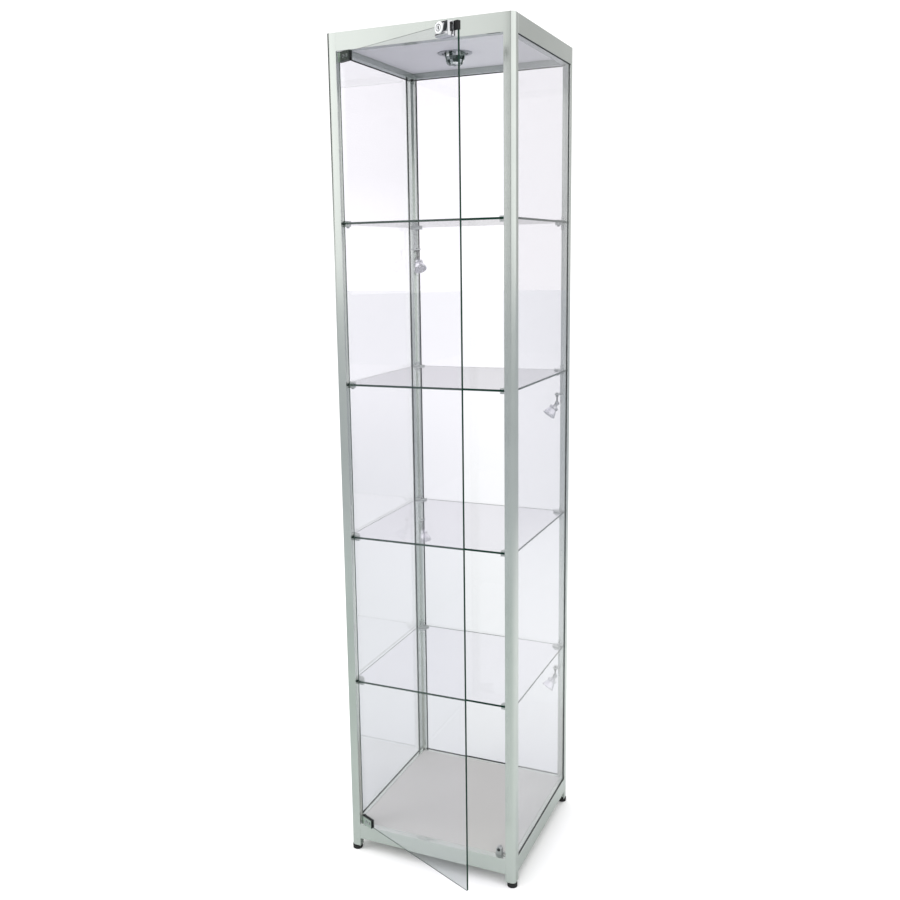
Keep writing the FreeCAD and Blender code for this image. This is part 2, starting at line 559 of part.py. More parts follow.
node(cut(join([lamp_shell, lamp_back, lamp_socket]), [reflector]), "downlight_lamp")
driver = box("driver_place", "-driver_wide/2", ceiling_top, "driver_long", "driver_wide", "driver_high")
node(driver, "light_driver")
lead_start = "(tube_radius + hole_play + lead_gap)"
leads = [rod(lead_start, y, f"{ceiling_top} + lead_rise", "plate_screw", f"driver_place - {lead_start}", xAxis)
         for y in ("-lead_place", "lead_place")]
node(group(leads), "lamp_leads")
gland_tube = rod("gland_place", "-screw_radius", gland_z, "gland_radius", f"{rail_web} + screw_radius", yAxis)
gland_nut = rod("gland_place", "-screw_radius", gland_z, "gland_radius*1.6", "screw_radius", yAxis)
gland_bore = rod("gland_place", "-screw_radius", gland_z, "gland_radius*0.6", "post_size", yAxis)
node(atCorner(cut(join([gland_tube, gland_nut]), [gland_bore]), "back_right"), "cable_gland")

# Spotlights under each shelf, on the back posts in turn.
spot_bases = []
seat_size = "(post_notch + spot_reach + seat_edge)"
reach = "(spot_drop - clip_below - spot_clip_gap - spot_clip_high)"
lug_starts = ("-(eye_thick/2 + lug_gap + lug_thick)", "eye_thick/2 + lug_gap")
for index, level in enumerate(shelf_levels, 1):
    corner = "back_left" if index % 2 else "back_right"
    side_x, side_y = cornerSides[corner]
    spot_x = f"{side_x}*({half_width} - {spot_axis})"
    spot_y = f"{half_depth} - {spot_axis}"
    turn = FreeCAD.Rotation(zAxis, 135 * side_x)
    clip_bottom = f"({level} - clip_below - spot_clip_gap - spot_clip_high)"
    strip = box(notch_place, notch_place, clip_bottom, "clip_post", "clip_post", "spot_clip_high")
    seat = box(notch_place, notch_place, clip_bottom, seat_size, seat_size, "seat_high")
    pin_bore = rod(spot_axis, spot_axis, clip_bottom, "screw_radius + run_gap", "seat_high")
    screw_bores = [rod(notch_place, f"{notch_place} + clip_post/2", f"{clip_bottom} + {step}*spot_clip_high",
                       "plate_screw", "clip_post", xAxis) for step in (0.4, 0.8)]
    spot_bases.append(atCorner(cut(join([strip, seat]), [pin_bore] + screw_bores), corner))
    pin = rod("0", "0", f"{reach} - pin_sink", "screw_radius", "pin_sink + seat_high + pin_tip")
    collar = rod("0", "0", f"{reach} - seat_play - seat_high", "screw_radius*2", "seat_high")
    stem = rod("0", "0", "eye_radius", "screw_radius", f"{reach} - eye_radius - pin_sink")
    eye = rod("-eye_thick/2", "0", "0", "eye_radius", "eye_thick", xAxis)
    eye_neck = box("-eye_thick/2", "-eye_thick/2", "0", "eye_thick", "eye_thick", "eye_radius + pin_sink")
    eye_bore = rod("-eye_thick/2", "0", "0", "plate_screw + run_gap", "eye_thick", xAxis)
    arm = cut(join([pin, collar, stem, eye, eye_neck]), [eye_bore])
    node(place(arm, spot_x, spot_y, f"{level} - spot_drop", turn), f"spot_arm_{index}")
    lugs = [rod(x, "0", "0", "eye_radius", "lug_thick", xAxis) for x in lug_starts]
    lug_webs = [box(x, "-eye_radius", "-lug_drop", "lug_thick", "2*eye_radius", "lug_drop") for x in lug_starts]
    tilt_pin = rod(lug_starts[0], "0", "0", "plate_screw", "eye_thick + 2*lug_gap + 2*lug_thick", xAxis)
    neck = rod("0", "0", "-cup_place + cup_floor - neck_sink", "neck_radius", "neck_radius")
    back = rod("0", "0", "-cup_place", "collar_radius", "cup_floor")
    cup = taper("0", "0", "-cup_place - cup_long", "cup_radius", "collar_radius + collar_lip", "cup_long")
    cup_hollow = taper("0", "0", "-cup_place - cup_long", "cup_radius - cup_wall",
                       "collar_radius + collar_lip - cup_wall", "cup_long - cup_floor")
    lamp = cut(join(lugs + lug_webs + [tilt_pin, neck, back, cup]), [cup_hollow])
    aim = turn.multiply(FreeCAD.Rotation(xAxis, values["spot_tilt"]))
    node(place(lamp, spot_x, spot_y, f"{level} - spot_drop", aim), f"spot_lamp_{index}")
node(group(spot_bases), "spot_clips")

# Feet: a plug in each post and a screw foot with a rubber pad.
inserts = []
for name in cornerTurns:
    flange_z = "post_bottom - foot_flange"
    flange = rod("bore_place", "bore_place", flange_z, "bore_radius + flange_lip", "foot_flange")
    plug = rod("bore_place", "bore_place", flange_z, "bore_radius - plug_play", "insert_long + foot_flange")
    thread = rod("bore_place", "bore_place", flange_z, "stem_radius + run_gap", "insert_long + foot_flange")
    inserts.append(atCorner(cut(join([flange, plug]), [thread]), name))
    pad = rod("bore_place", "bore_place", "0", "foot_radius", "foot_pad")
    stem = rod("bore_place", "bore_place", "0", "stem_radius", "post_bottom + insert_long")
    node(atCorner(join([pad, stem]), name), f"foot_{name}")
node(group(inserts), "foot_inserts")

doc.recompute()
for item in doc.Objects:
    if {"Invalid", "Error"} & set(item.State):
        raise RuntimeError(f"{item.Name} {item.Label} {item.State}")
for item in nodes:
    shape = item.Shape
    if shape.isNull() or not shape.isValid() or not shape.Solids:
        raise RuntimeError(f"{item.Label} has no valid shape")
    shape.exportStep(f"parts/{item.Label}.step")
print(len(nodes), "nodes", sum(len(item.Shape.Solids) for item in nodes), "solids")
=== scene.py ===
import json
import math

import bmesh
import bpy
from mathutils import Matrix, Vector


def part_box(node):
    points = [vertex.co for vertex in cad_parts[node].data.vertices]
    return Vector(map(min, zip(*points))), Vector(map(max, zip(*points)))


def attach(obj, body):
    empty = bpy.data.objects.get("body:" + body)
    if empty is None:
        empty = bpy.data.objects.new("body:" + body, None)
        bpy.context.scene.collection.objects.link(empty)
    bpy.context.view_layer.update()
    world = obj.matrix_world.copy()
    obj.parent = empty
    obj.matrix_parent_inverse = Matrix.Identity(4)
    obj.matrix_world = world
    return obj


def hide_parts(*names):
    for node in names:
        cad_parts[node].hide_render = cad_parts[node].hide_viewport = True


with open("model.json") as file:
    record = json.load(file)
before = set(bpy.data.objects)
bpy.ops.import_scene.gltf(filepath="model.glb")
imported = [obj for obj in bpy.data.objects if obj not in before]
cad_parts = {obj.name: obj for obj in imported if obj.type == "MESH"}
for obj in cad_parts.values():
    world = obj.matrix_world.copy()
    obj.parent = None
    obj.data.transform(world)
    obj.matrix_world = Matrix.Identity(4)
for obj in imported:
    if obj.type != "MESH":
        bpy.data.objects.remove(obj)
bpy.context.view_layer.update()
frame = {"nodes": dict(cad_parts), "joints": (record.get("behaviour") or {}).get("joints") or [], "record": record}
scene = bpy.context.scene
bodyOf = {node: body for body, nodes in frame["record"]["behaviour"]["bodies"].items() for node in nodes}
joints = {joint["name"]: joint for joint in frame["joints"]}
print("frame loaded:", len(frame["nodes"]), "nodes")


def mm(value):
    return value / 1000


def linear(code):
    parts = [int(code[i:i + 2], 16) / 255 for i in (1, 3, 5)]
    return [c / 12.92 if c <= 0.04045 else ((c + 0.055) / 1.055) ** 2.4 for c in parts] + [1]


# Camera: at eye height, to the right of the door, looking slightly down
cameraSet = {"place": (0.9413, -2.3227, 1.5244), "yaw": 24.65, "pitch": -10.5, "roll": -1.1,
             "lens": 40.0, "sensor": 36, "shift": (0.0388, -0.0085)}


def addCamera(kit):
    camera = bpy.data.objects.new("camera", bpy.data.cameras.new("camera"))
    scene.collection.objects.link(camera)
    camera.data.lens = kit["lens"]
    camera.data.sensor_width = kit["sensor"]
    camera.data.shift_x, camera.data.shift_y = kit["shift"]
    # a camera looks straight down at rest, so a level view is a quarter turn up
    turn = Matrix.Rotation(math.radians(kit["yaw"]), 4, "Z")
    tip = Matrix.Rotation(math.radians(90 + kit["pitch"]), 4, "X")
    roll = Matrix.Rotation(math.radians(kit["roll"]), 4, "Z")
    camera.matrix_world = Matrix.Translation(kit["place"]) @ turn @ tip @ roll
    scene.camera = camera


addCamera(cameraSet)

# Studio: a white room with soft lights at the left, in front and above
studioSet = {
    "skyBright": 1.2,
    # what shiny surfaces see: degrees from the front towards the right, and how bright it is there
    "room": ((-180, 0.75), (-108, 1.05), (-50, 1.25), (-32, 1.4), (-17, 0.85), (-10, 0.35), (-4, 0.35),
             (5, 1.15), (100, 1.25), (148, 1.15), (159, 0.36), (170, 0.8), (180, 0.75)),
    # the same above the horizon, with a dark doorway at the left
    "upperRoom": ((-180, 0.75), (-106, 0.7), (-100, 0.06), (-62, 0.06), (-52, 0.9), (-32, 1.4), (-17, 0.85),
                  (-10, 0.35), (-4, 0.35), (5, 1.15), (100, 1.25), (148, 1.15), (159, 0.36), (170, 0.8),
                  (180, 0.75)),
    # how steeply a ray climbs where the upper room begins and where it gives way to the plain one again
    "rise": (0.0, 0.08), "lintel": (0.45, 0.3),
    "aim": (0, 0, 1.0),
    "lights": {"leftPanel": {"place": (-2.6, -1.8, 2.4), "size": (1.6, 2.6), "power": 38},
               "frontPanel": {"place": (1.2, -3.4, 2.6), "size": (1.6, 1.6), "power": 20},
               "topPanel": {"place": (0.2, -0.4, 3.6), "size": (1.8, 1.8), "power": 13}},
    # a look through the case crosses many panes, and each pane has two faces
    "bounces": {"max_bounces": 24, "transmission_bounces": 24, "transparent_max_bounces": 32},
}

# Sockets that have no name of their own: a colour mix, a map range and a shader mix
mixFirst, mixSecond, mixResult = 6, 7, 2
fromLow, fromHigh, toLow, toHigh = 1, 2, 3, 4
shaderFirst, shaderSecond = 1, 2


def addNode(tree, kind, values=None, links=None, **settings):
    node = tree.nodes.new(kind)
    for name, value in settings.items():
        setattr(node, name, value)
    for name, value in (values or {}).items():
        node.inputs[name].default_value = value
    for name, source in (links or {}).items():
        tree.links.new(source, node.inputs[name])
    return node


def setRamp(node, stops):
    marks = node.color_ramp.elements
    for place, colour in stops[2:]:
        marks.new(place)
    for mark, (place, colour) in zip(marks, stops):
        mark.position = place
        mark.color = colour


# 1 for a ray that was mirrored on its way, 0 for one that came straight or through glass
def mirrored(tree):
    path = addNode(tree, "ShaderNodeLightPath")
    return addNode(tree, "ShaderNodeMath", {1: 1.0}, {0: path.outputs["Glossy Depth"]}, operation="MINIMUM")


def buildWorld(kit):
    world = bpy.data.worlds.new("studio room")
    scene.world = world
    world.use_nodes = True
    tree = world.node_tree
    tree.nodes.clear()
    place = addNode(tree, "ShaderNodeTexCoord")
    axes = addNode(tree, "ShaderNodeSeparateXYZ", links={0: place.outputs["Generated"]})
    front = addNode(tree, "ShaderNodeMath", {1: -1.0}, {0: axes.outputs["Y"]}, operation="MULTIPLY")
    angle = addNode(tree, "ShaderNodeMath", links={0: axes.outputs["X"], 1: front.outputs[0]},
                    operation="ARCTAN2")
    share = addNode(tree, "ShaderNodeMapRange", {fromLow: -math.pi, fromHigh: math.pi}, {0: angle.outputs[0]})
    rings = []
    for name in ("room", "upperRoom"):
        rings.append(addNode(tree, "ShaderNodeValToRGB", links={0: share.outputs[0]}))
        setRamp(rings[-1], [((degrees + 180) / 360, (bright, bright, bright, 1))
                            for degrees, bright in kit[name]])
    rise, lintel = (addNode(tree, "ShaderNodeMapRange", {fromLow: kit[name][0], fromHigh: kit[name][1]},
                            {0: axes.outputs["Z"]}) for name in ("rise", "lintel"))
    band = addNode(tree, "ShaderNodeMath", links={0: rise.outputs[0], 1: lintel.outputs[0]},
                   operation="MULTIPLY")
    walls = addNode(tree, "ShaderNodeMix", data_type="RGBA",
                    links={0: band.outputs[0], mixFirst: rings[0].outputs[0], mixSecond: rings[1].outputs[0]})
    room = addNode(tree, "ShaderNodeBackground", {"Strength": 1.0}, {"Color": walls.outputs[mixResult]})
    sky = addNode(tree, "ShaderNodeBackground", {"Color": linear("#FFFFFF"), "Strength": kit["skyBright"]})
    both = addNode(tree, "ShaderNodeMixShader", links={0: mirrored(tree).outputs[0],
                                                       shaderFirst: sky.outputs[0],
                                                       shaderSecond: room.outputs[0]})
    addNode(tree, "ShaderNodeOutputWorld", links={0: both.outputs[0]})


def addLight(name, kit, target):
    light = bpy.data.objects.new(name, bpy.data.lights.new(name, "AREA"))
    scene.collection.objects.link(light)
    light.data.shape = "RECTANGLE"
    light.data.size, light.data.size_y = kit["size"]
    light.data.energy = kit["power"]
    light.visible_glossy = False
    light.visible_transmission = False
    light.location = kit["place"]
    light.rotation_euler = (Vector(target) - light.location).to_track_quat("-Z", "Y").to_euler()


buildWorld(studioSet)
for name, kit in studioSet["lights"].items():
    addLight(name, kit, studioSet["aim"])
scene.view_settings.view_transform = "Standard"
for name, count in studioSet["bounces"].items():
    setattr(scene.cycles, name, count)
print("studio ready")


def newMaterial(name):
    material = bpy.data.materials.new(name)
    material.use_nodes = True
    material.node_tree.nodes.clear()
    return material, material.node_tree


def finishMaterial(tree, shader):
    addNode(tree, "ShaderNodeOutputMaterial", links={"Surface": shader.outputs[0]})


def mottled(tree, scale, detail=4.0):
    place = addNode(tree, "ShaderNodeTexCoord")
    spread = addNode(tree, "ShaderNodeMapping", {"Scale": scale}, {"Vector": place.outputs["Object"]})
    return addNode(tree, "ShaderNodeTexNoise", {"Scale": 1.0, "Detail": detail}, {"Vector": spread.outputs[0]})


# Every opaque finish is two close colours, a wandering roughness and a small surface pattern
def finishShader(tree, kit):
    patches = mottled(tree, kit.get("patch", (9, 9, 9)))
    colours = addNode(tree, "ShaderNodeMix",
                      {mixFirst: linear(kit["colours"][0]), mixSecond: linear(kit["colours"][1])},
                      {0: patches.outputs[0]}, data_type="RGBA")
    grain = mottled(tree, kit["grain"], 2.0)
    rough = addNode(tree, "ShaderNodeMapRange", {toLow: kit["rough"][0], toHigh: kit["rough"][1]},
                    {0: grain.outputs[0]})
    bump = addNode(tree, "ShaderNodeBump",
                   {"Strength": kit.get("bump", 0.15), "Distance": mm(kit.get("deep", 0.05))},
                   {"Height": grain.outputs[0]})
    values = {"Metallic": kit.get("metal", 0.0), **kit.get("extra", {})}
    return addNode(tree, "ShaderNodeBsdfPrincipled", values,
                   {"Base Color": colours.outputs[mixResult], "Roughness": rough.outputs[0],
                    "Normal": bump.outputs[0]})


def surface(name, kit):
    material, tree = newMaterial(name)
    finishMaterial(tree, finishShader(tree, kit))
    return material


# 1 where a surface faces along the given direction, 0 on the edges around it
def facesAlong(tree, normal, least=0.8):
    place = addNode(tree, "ShaderNodeTexCoord")
    facing = addNode(tree, "ShaderNodeVectorMath", {1: normal}, {0: place.outputs["Normal"]},
                     operation="DOT_PRODUCT")
    flat = addNode(tree, "ShaderNodeMath", links={0: facing.outputs["Value"]}, operation="ABSOLUTE")
    return addNode(tree, "ShaderNodeMath", {1: least}, {0: flat.outputs[0]}, operation="GREATER_THAN")


# Two finishes on one casting: light ground faces and dark green edges around them
def edged(name, face, edge, normal):
    material, tree = newMaterial(name)
    isFace = facesAlong(tree, normal)
    both = addNode(tree, "ShaderNodeMixShader", links={0: isFace.outputs[0],
                                                       shaderFirst: finishShader(tree, edge).outputs[0],
                                                       shaderSecond: finishShader(tree, face).outputs[0]})
    finishMaterial(tree, both)
    return material


# Scale of a pattern drawn out into lines: fine lines 0.6 mm apart, long waves along them
def lines(along, long=3.0, fine=1 / mm(0.6)):
    return tuple(long if axis in along else fine for axis in "xyz")


# Anodised aluminium, satin: soft wide highlights and faint die lines along each length
anodised = {"colours": ("#DCE1DC", "#CDD3CE"), "rough": (0.16, 0.24), "metal": 1.0, "bump": 0.05, "deep": 0.03}
postAluminium = surface("anodised aluminium upright", {**anodised, "grain": lines("z")})
rimAluminium = surface("anodised aluminium across", {**anodised, "grain": lines("x")})
sideAluminium = surface("anodised aluminium deep", {**anodised, "grain": lines("y")})
clipAluminium = surface("cast aluminium clip", {"colours": ("#D2D6D4", "#BCC1BE"), "rough": (0.28, 0.45),
                                                "metal": 1.0, "grain": (700, 700, 700), "bump": 0.2})

# Melamine faced board: a matt printed film over fine paper fibre, grey below. The ceiling takes a near white copy
# of the same board, which is painted light.
boardFilm = {"colours": ("#BABBB5", "#B3B4AE"), "rough": (0.42, 0.55), "grain": (420, 420, 420),
             "bump": 0.12, "deep": 0.04, "patch": (5, 5, 5)}
melamine = surface("melamine faced board", boardFilm)
# the same board made near white on the ceiling: painted light, standing in for light that falls short there
litCeilingFilm = surface("melamine ceiling board lightened as painted light", {**boardFilm, "colours": ("#EDEDEF", "#E6E6E9")})
coatedSheet = surface("powder coated sheet", {"colours": ("#A6A7A5", "#9D9E9C"), "rough": (0.45, 0.6),
                                              "grain": (900, 900, 900), "bump": 0.3})

# The door stands part open, so its faces look this way
doorSwing = math.radians(-joints["door_hinge"]["range_deg"][0])
doorNormal = (math.sin(doorSwing), math.cos(doorSwing), 0)

# Chrome plate: almost a mirror, with a slight haze
chromePlate = surface("chrome plate", {"colours": ("#DCDDDF", "#CFD0D3"), "rough": (0.05, 0.12), "metal": 1.0,
                                       "grain": (350, 350, 350), "bump": 0.02})
blastedChrome = surface("bead blasted chrome", {"colours": ("#F4F5F6", "#E6E7E9"), "rough": (0.35, 0.5),
                                                "metal": 0.25, "grain": (1100, 1100, 1100), "bump": 0.15})
zincSteel = surface("zinc plated steel", {"colours": ("#B8BABC", "#9FA1A4"), "rough": (0.2, 0.34),
                                          "metal": 1.0, "grain": (900, 900, 900), "bump": 0.1})
turnedSteel = surface("turned dark steel", {"colours": ("#55585A", "#3E4042"), "rough": (0.22, 0.36),
                                            "metal": 1.0, "grain": (1200, 1200, 200), "bump": 0.1})
clampFace = {"colours": ("#C4CFC6", "#AEBAB1"), "rough": (0.18, 0.28), "metal": 1.0,
             "grain": (500, 500, 500), "bump": 0.1}
# every side of the clamp casting that does not face along the door is near black green
darkGreenEdges = {"colours": ("#232C28", "#1A211E"), "rough": (0.25, 0.35), "grain": (500, 500, 500),
               "bump": 0.15}
clampMetal = edged("ground steel with dark green edges", clampFace, darkGreenEdges, doorNormal)
greyEnamel = surface("grey stoved enamel", {"colours": ("#B9BCBC", "#A3A7A7"), "rough": (0.25, 0.36),
                                            "metal": 0.6, "grain": (600, 600, 600), "bump": 0.15})
satinNickel = surface("satin nickel", {"colours": ("#CBCCCF", "#BBBCC0"), "rough": (0.24, 0.34), "metal": 1.0,
                                       "grain": (700, 700, 700), "bump": 0.05})
sealRubber = surface("dark grey glazing rubber", {"colours": ("#303334", "#262829"), "rough": (0.55, 0.75),
                                                  "grain": (1500, 1500, 1500), "bump": 0.3})
blackRubber = surface("black rubber", {"colours": ("#1A1A1B", "#121213"), "rough": (0.6, 0.8),
                                       "grain": (1500, 1500, 1500), "bump": 0.35})
blackPlastic = surface("moulded black nylon", {"colours": ("#0E0E0F", "#09090A"), "rough": (0.25, 0.4),
                                               "grain": (1300, 1300, 1300), "bump": 0.2,
                                               "extra": {"Specular IOR Level": 0.3}})
whiteNylon = surface("white nylon bush", {"colours": ("#E9E6DE", "#DDDAD1"), "rough": (0.35, 0.5),
                                          "grain": (900, 900, 900), "bump": 0.1})
whiteCase = surface("moulded white polycarbonate", {"colours": ("#E8E8E5", "#DFDFDB"), "rough": (0.4, 0.5),
                                                    "grain": (1000, 1000, 1000), "bump": 0.25})
leadSleeve = surface("silicone lead sleeve", {"colours": ("#DCDAD4", "#CFCDC6"), "rough": (0.45, 0.6),
                                              "grain": (900, 900, 900), "bump": 0.2})


# Float glass: clear with a faint tint on its faces and a deep green where the edge is seen
floatGlass = {"face": "#FDFCFF", "edge": ("#1E3A30", "#142B23"), "edgeShine": 0.08, "edgeRough": 0.4,
              "shadow": "#F7F6F9", "ior": 1.52, "cloud": (60, 60, 8),
              "ripple": {"scale": (2.2, 2.2, 2.2), "strength": 0.02, "deep": 0.02}}


def glass(name, kit):
    material, tree = newMaterial(name)
    ripple = mottled(tree, kit["ripple"]["scale"], 1.0)
    bump = addNode(tree, "ShaderNodeBump",
                   {"Strength": kit["ripple"]["strength"], "Distance": mm(kit["ripple"]["deep"])},
                   {"Height": ripple.outputs[0]})
    face = addNode(tree, "ShaderNodeBsdfPrincipled",
                   {"Base Color": linear(kit["face"]), "Roughness": 0.0, "IOR": kit["ior"],
                    "Transmission Weight": 1.0}, {"Normal": bump.outputs[0]})
    cloud = mottled(tree, kit["cloud"])
    green = addNode(tree, "ShaderNodeMix",
                    {mixFirst: linear(kit["edge"][0]), mixSecond: linear(kit["edge"][1])},
                    {0: cloud.outputs[0]}, data_type="RGBA")
    edge = addNode(tree, "ShaderNodeBsdfPrincipled",
                   {"Roughness": kit["edgeRough"], "IOR": kit["ior"], "Specular IOR Level": kit["edgeShine"]},
                   {"Base Color": green.outputs[mixResult]})
    pane = addNode(tree, "ShaderNodeMixShader", links={0: facesAlong(tree, kit["normal"]).outputs[0],
                                                       shaderFirst: edge.outputs[0],
                                                       shaderSecond: face.outputs[0]})
    # lamps and soft light pass straight through a pane, so that it casts hardly any shadow
    clear = addNode(tree, "ShaderNodeBsdfTransparent", {"Color": linear(kit["shadow"])})
    path = addNode(tree, "ShaderNodeLightPath")
    lamp = addNode(tree, "ShaderNodeMath", operation="MAXIMUM",
                   links={0: path.outputs["Is Shadow Ray"], 1: path.outputs["Is Diffuse Ray"]})
    whole = addNode(tree, "ShaderNodeMixShader", links={0: lamp.outputs[0], shaderFirst: pane.outputs[0],
                                                        shaderSecond: clear.outputs[0]})
    finishMaterial(tree, whole)
    return material


sideGlass = glass("float glass side pane", {**floatGlass, "normal": (1, 0, 0)})
backGlass = glass("float glass back pane", {**floatGlass, "normal": (0, 1, 0)})
shelfGlass = glass("toughened glass shelf", {**floatGlass, "normal": (0, 0, 1)})
doorGlass = glass("toughened glass door", {**floatGlass, "normal": doorNormal})
print("materials ready")


# Turns a finished shape into a mesh: smooth with sharp edges from an angle upwards, or all flat
def meshOf(shape, name, sharp=None):
    mesh = bpy.data.meshes.new(name)
    shape.to_mesh(mesh)
    shape.free()
    for face in mesh.polygons:
        face.use_smooth = sharp is not None
    if sharp is not None:
        mesh.set_sharp_from_angle(angle=math.radians(sharp))
    return mesh


def addPiece(name, mesh, material, body, *replaced):
    piece = bpy.data.objects.new(name, mesh)
    scene.collection.objects.link(piece)
    mesh.materials.clear()
    mesh.materials.append(material)
    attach(piece, body)
    if replaced:
        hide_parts(*replaced)
    return piece


# Gaps in millimetres and angles in degrees
shapeSet = {"weld": 0.005, "closeRing": 0.002, "flat": 1, "sharpCad": 35, "sharpOwn": 40, "corner": 40}


# A CAD solid with its sharp edges broken, as an extrusion, casting or seamed pane has them
def softened(node, material, width=0.3, segments=2):
    shape = bmesh.new()
    shape.from_mesh(frame["nodes"][node].data)
    bmesh.ops.remove_doubles(shape, verts=shape.verts, dist=mm(shapeSet["weld"]))
    bmesh.ops.dissolve_limit(shape, angle_limit=math.radians(shapeSet["flat"]), verts=shape.verts,
                             edges=shape.edges)
    mesh = meshOf(shape, node + "_shape", shapeSet["sharpCad"])
    piece = addPiece(node + "_piece", mesh, material, bodyOf[node], node)
    bevel = piece.modifiers.new("broken edges", "BEVEL")
    bevel.width = mm(width)
    bevel.segments = segments
    bevel.limit_method = "ANGLE"
    bevel.angle_limit = math.radians(shapeSet["corner"])
    bevel.harden_normals = True


# A block with rounded edges: size and centre in millimetres
def roundedBlock(name, kit, material, body, place):
    shape = bmesh.new()
    bmesh.ops.create_cube(shape, size=1.0)
    bmesh.ops.scale(shape, vec=[mm(value) for value in kit["size"]], verts=shape.verts)
    bmesh.ops.bevel(shape, geom=shape.edges[:], offset=mm(kit["width"]), segments=3, profile=0.5,
                    affect="EDGES", material=-1)
    spin = Matrix.Rotation(math.radians(kit.get("turn", 0)), 4, "Y")
    move = Matrix.Translation([mm(value) for value in kit["centre"]])
    bmesh.ops.transform(shape, matrix=place @ move @ spin, verts=shape.verts)
    addPiece(name, meshOf(shape, name, shapeSet["sharpOwn"]), material, body)


# A turned shape: a half outline of (radius, height) in millimetres spun about Z, then put in place.
# One with few sides stays flat, as cut facets are
def turned(name, outline, material, body, place, segments=48, flat=False, replaced=()):
    shape = bmesh.new()
    points = [shape.verts.new((mm(radius), 0, mm(height))) for radius, height in outline]
    edges = [shape.edges.new(pair) for pair in zip(points, points[1:])]
    bmesh.ops.spin(shape, geom=points + edges, cent=(0, 0, 0), axis=(0, 0, 1), dvec=(0, 0, 0),
                   angle=2 * math.pi, steps=segments, use_merge=True)
    bmesh.ops.remove_doubles(shape, verts=shape.verts, dist=mm(shapeSet["closeRing"]))
    bmesh.ops.recalc_face_normals(shape, faces=shape.faces)
    bmesh.ops.transform(shape, matrix=place, verts=shape.verts)
    addPiece(name, meshOf(shape, name, None if flat else shapeSet["sharpOwn"]), material, body, *replaced)


# Edge rounding of the frame and its glass in millimetres
frameSet = {"postEdge": 0.4, "railEdge": 0.5, "paneEdge": 0.5, "doorEdge": 0.9, "shelfEdge": 0.3,
            "segments": 3, "shelves": 4}
for node in [name for name in frame["nodes"] if name.startswith("post_")]:
    softened(node, postAluminium, frameSet["postEdge"], frameSet["segments"])
for side, material in (("front", rimAluminium), ("back", rimAluminium), ("left", sideAluminium),
                       ("right", sideAluminium)):
    softened("header_rail_" + side, material, frameSet["railEdge"], frameSet["segments"])
    softened("base_rail_" + side, material, frameSet["railEdge"], frameSet["segments"])
for node in ("side_glass_left", "side_glass_right"):
    softened(node, sideGlass, frameSet["paneEdge"])
softened("back_glass", backGlass, frameSet["paneEdge"])
softened("door_glass", doorGlass, frameSet["doorEdge"])
for index in range(1, frameSet["shelves"] + 1):
    softened(f"shelf_{index}", shelfGlass, frameSet["shelfEdge"])
print("frame and glass ready")

# Material and edge rounding in millimetres of each small piece
finishes = {
    "base_panel": (melamine, 0.4), "ceiling_panel": (litCeilingFilm, 0.3), "top_cover": (coatedSheet, 0.3),
    "glazing_gaskets": (sealRubber, 0.2), "shelf_clips": (clipAluminium, 0.5),
    "shelf_clip_screws": (zincSteel, 0.3), "hinge_plates": (chromePlate, 0.2), "plate_screws": (zincSteel, 0.1),
    "hinge_clamps": (clampMetal, 0.5), "clamp_pads": (blackRubber, 0.1), "clamp_screws": (zincSteel, 0.3),
    "lock_body": (chromePlate, 0.6), "lock_cylinder": (blastedChrome, 0.2), "lock_cam": (zincSteel, 0.2),
    "lock_corner_cap": (blackPlastic, 0.7), "door_catch": (greyEnamel, 0.5),
    "catch_bumper": (sealRubber, 0.3), "downlight_trim": (satinNickel, 0.4),
    "downlight_gimbal": (satinNickel, 0.4), "light_driver": (whiteCase, 0.8),
    "cable_gland": (blackPlastic, 0.5), "spot_clips": (clipAluminium, 0.4),
}
for node, (material, width) in finishes.items():
    softened(node, material, width)
armEdge = 0.2
for index in range(1, 5):
    softened(f"spot_arm_{index}", turnedSteel, armEdge)
footEdge = 1.0
for node in [name for name in frame["nodes"] if name.startswith("foot_") and name != "foot_inserts"]:
    softened(node, blackRubber, footEdge, 3)
# these sit inside other pieces, so their CAD shapes serve as they are
plain = {"rail_connectors": zincSteel, "pivot_pins": zincSteel, "pivot_bushes": whiteNylon,
         "lamp_leads": leadSleeve, "foot_inserts": blackPlastic}
for node, material in plain.items():
    for slot in frame["nodes"][node].material_slots:
        slot.material = material
print("hardware ready")

# Lock casting, measured along the door from its hinge line: a round nose for the key and two raised ribs. The
# second rib is dark steel, a dark piece where the chrome shows a dark reflection: painted reflection.
lockSet = {
    "nose": ((5.7, -27.3), (10.6, -27.3), (11.4, -26.5), (11.7, -25.2), (11.1, -24), (8.8, -22.6), (7.5, -20),
             (5.7, -20)),
    "key": {"size": (3.4, 0.5, 7.4), "centre": (0, -27.2, 0), "width": 0.2},
    "ribs": ({"size": (34, 6.4, 8), "centre": (2, -21.2, -11.8), "turn": 0, "width": 2.8,
              "finish": chromePlate},
             # this dark steel rib is painted reflection: a dark piece where the chrome casting mirrors something
             # dark
             {"size": (6, 5.6, 17), "centre": (13.6, -20.8, 2.6), "turn": 18, "width": 2.4,
              "finish": turnedSteel}),
}


def lockCasting(kit):
    hinge = joints["door_hinge"]["pos_m"]
    core = joints["lock_turn"]["pos_m"]
    swing = Matrix.Rotation(-doorSwing, 4, "Z")
    reach = (swing.inverted() @ Vector((core[0] - hinge[0], core[1] - hinge[1], 0))).x
    place = Matrix.Translation((hinge[0], hinge[1], core[2])) @ swing @ Matrix.Translation((reach, 0, 0))
    # the nose is turned about Z and then laid along the lock's own axis
    spin = Matrix.Rotation(math.radians(90), 4, "X")
    nose = [(radius, -height) for radius, height in kit["nose"]]
    turned("lock_nose", nose + nose[:1], blastedChrome, bodyOf["lock_body"], place @ spin)
    for index, rib in enumerate(kit["ribs"], 1):
        roundedBlock(f"lock_rib_{index}", rib, rib["finish"], bodyOf["lock_body"], place)
    roundedBlock("key_shutter", kit["key"], blackPlastic, bodyOf["lock_cylinder"], place)


lockCasting(lockSet)
print("lock ready")

